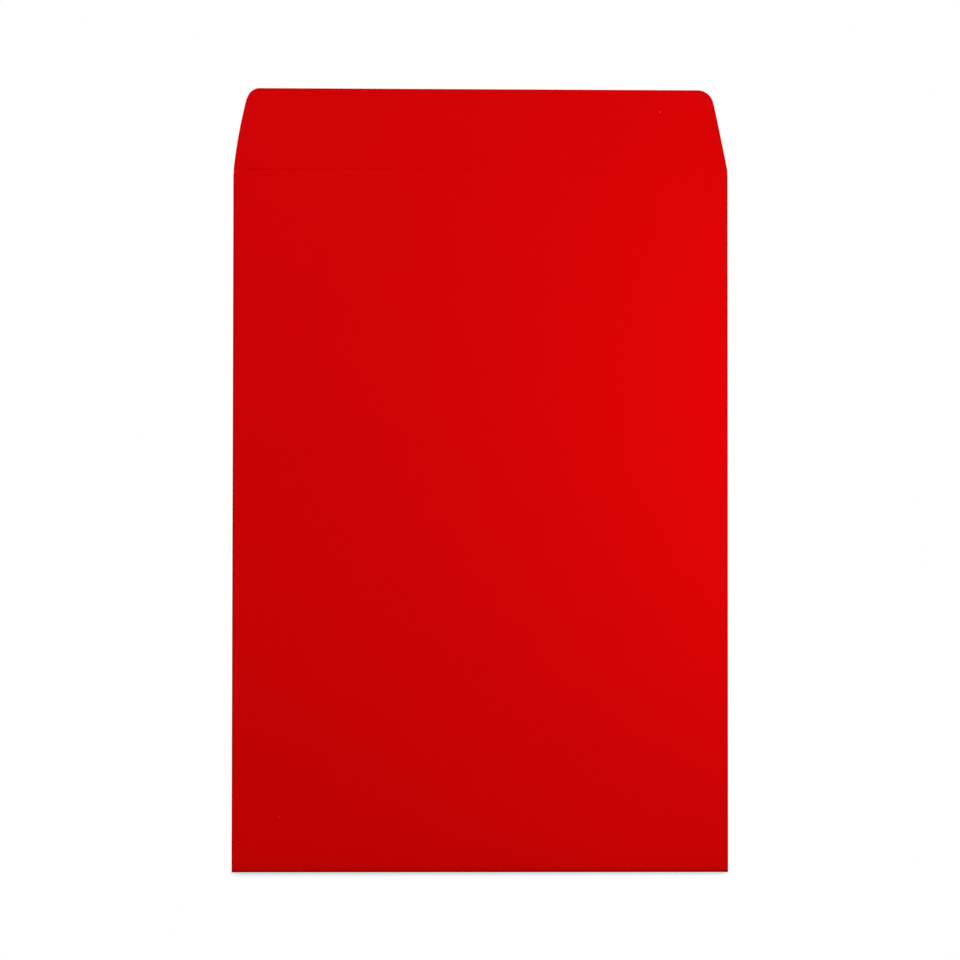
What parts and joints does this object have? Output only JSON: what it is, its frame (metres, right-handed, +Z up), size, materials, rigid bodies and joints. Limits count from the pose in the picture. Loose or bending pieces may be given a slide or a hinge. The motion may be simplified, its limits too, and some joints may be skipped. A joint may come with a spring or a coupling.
{
  "type": "board-backed envelope",
  "caption": "Flat paper pocket on a stiff grey board back, with a scored closing flap that folds over the back and seals with a peel-off adhesive strip.",
  "frame": {"origin": "under the middle of the bottom fold, half-way through the envelope's depth", "axes": "+X to the right across the address face, -Y out of the address face, +Z up from the bottom fold to the flap"},
  "size_m": [0.229, 0.0032, 0.362],
  "materials": {
    "red_paper": "matte",
    "grey_board": "matte",
    "paper_glue": "satin",
    "seal_adhesive": "satin",
    "release_paper": "satin"
  },
  "bodies": {
    "pocket": {"front_panel": "red_paper", "left_fold": "red_paper", "right_fold": "red_paper", "bottom_fold": "red_paper", "left_seam": "red_paper", "right_seam": "red_paper", "bottom_seam": "red_paper", "flap_crease": "red_paper", "back_board": "grey_board", "left_seam_glue": "paper_glue", "right_seam_glue": "paper_glue", "bottom_seam_glue": "paper_glue"},
    "flap": {"closure_flap": "red_paper", "seal_strip": "seal_adhesive"},
    "liner": {"release_liner": "release_paper"}
  },
  "joints": [
    {"name": "flap_fold", "type": "hinge", "parent": "pocket", "child": "flap", "pos_m": [0, 0.00021, 0.324], "axis": [-1, 0, 0], "range_deg": [0, 179.5], "deforming": ["flap_crease"]},
    {"name": "liner_peel", "type": "slide", "parent": "flap", "child": "liner", "axis": [1, 0, 0], "range_m": [0, 0.21]}
  ]
}
